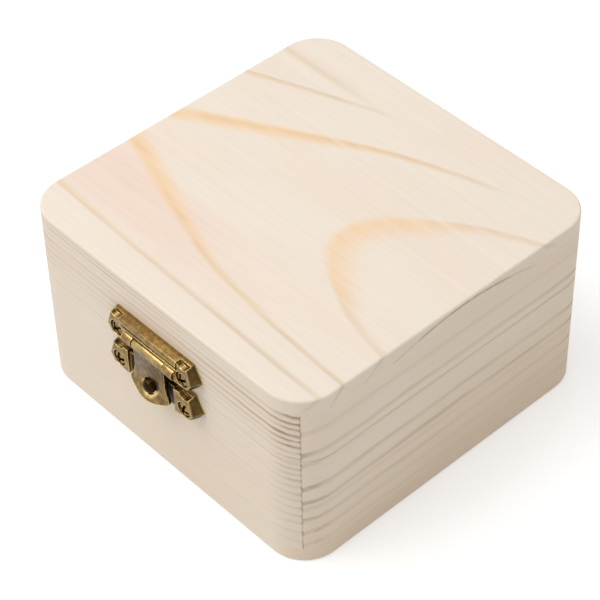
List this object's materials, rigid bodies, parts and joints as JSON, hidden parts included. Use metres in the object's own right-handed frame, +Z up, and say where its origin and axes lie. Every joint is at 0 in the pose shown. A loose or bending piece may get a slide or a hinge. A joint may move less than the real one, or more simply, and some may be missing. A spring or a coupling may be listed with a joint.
{
  "type": "hinged wooden box",
  "caption": "Low square box of bare pine with rounded corners: its lid swings up on butt hinges behind, and a brass swing clasp in front drops over a stud to hold it shut.",
  "frame": {"origin": "centre of the underside, on the surface the box stands on", "axes": "+Z up; the clasp faces -Y and the hinges are at +Y; +X is the right-hand side seen from the front"},
  "size_m": [0.09, 0.0977, 0.0505],
  "materials": {
    "clasp_brass": "antique patina",
    "hinge_brass": "antique patina",
    "pine_back": "sanded, unfinished",
    "pine_bottom": "sanded, unfinished",
    "pine_front": "sanded, unfinished",
    "pine_left": "sanded, unfinished",
    "pine_right": "sanded, unfinished",
    "pine_top": "sanded, unfinished",
    "screw_brass": "antique patina",
    "tongue_brass": "antique patina"
  },
  "bodies": {
    "box": {"box_front_wall": "pine_front", "box_right_wall": "pine_right", "box_back_wall": "pine_back", "box_left_wall": "pine_left", "box_bottom_panel": "pine_bottom", "clasp_catch_plate": "clasp_brass", "hinge_left_box_leaf": "hinge_brass", "hinge_right_box_leaf": "hinge_brass", "hinge_left_pin": "hinge_brass", "hinge_right_pin": "hinge_brass", "clasp_box_left_screw": "screw_brass", "hinge_left_box_inner_screw": "screw_brass", "hinge_left_box_outer_screw": "screw_brass", "clasp_box_right_screw": "screw_brass", "hinge_right_box_inner_screw": "screw_brass", "hinge_right_box_outer_screw": "screw_brass"},
    "lid": {"lid_front_rail": "pine_front", "lid_right_rail": "pine_right", "lid_back_rail": "pine_back", "lid_left_rail": "pine_left", "lid_top_panel": "pine_top", "clasp_hinge_plate": "clasp_brass", "clasp_pin": "clasp_brass", "hinge_left_lid_leaf": "hinge_brass", "hinge_right_lid_leaf": "hinge_brass", "clasp_lid_left_screw": "screw_brass", "hinge_left_lid_inner_screw": "screw_brass", "hinge_left_lid_outer_screw": "screw_brass", "clasp_lid_right_screw": "screw_brass", "hinge_right_lid_inner_screw": "screw_brass", "hinge_right_lid_outer_screw": "screw_brass"},
    "clasp_tongue": {"clasp_tongue": "tongue_brass"}
  },
  "joints": [
    {"name": "lid_hinge", "type": "hinge", "parent": "box", "child": "lid", "pos_m": [0, 0.0467, 0.03225], "axis": [-1, 0, 0], "range_deg": [0, 175]},
    {"name": "clasp_tongue_swing", "type": "hinge", "parent": "lid", "child": "clasp_tongue", "pos_m": [0, -0.047, 0.03625], "axis": [-1, 0, 0], "range_deg": [0, 135]}
  ]
}
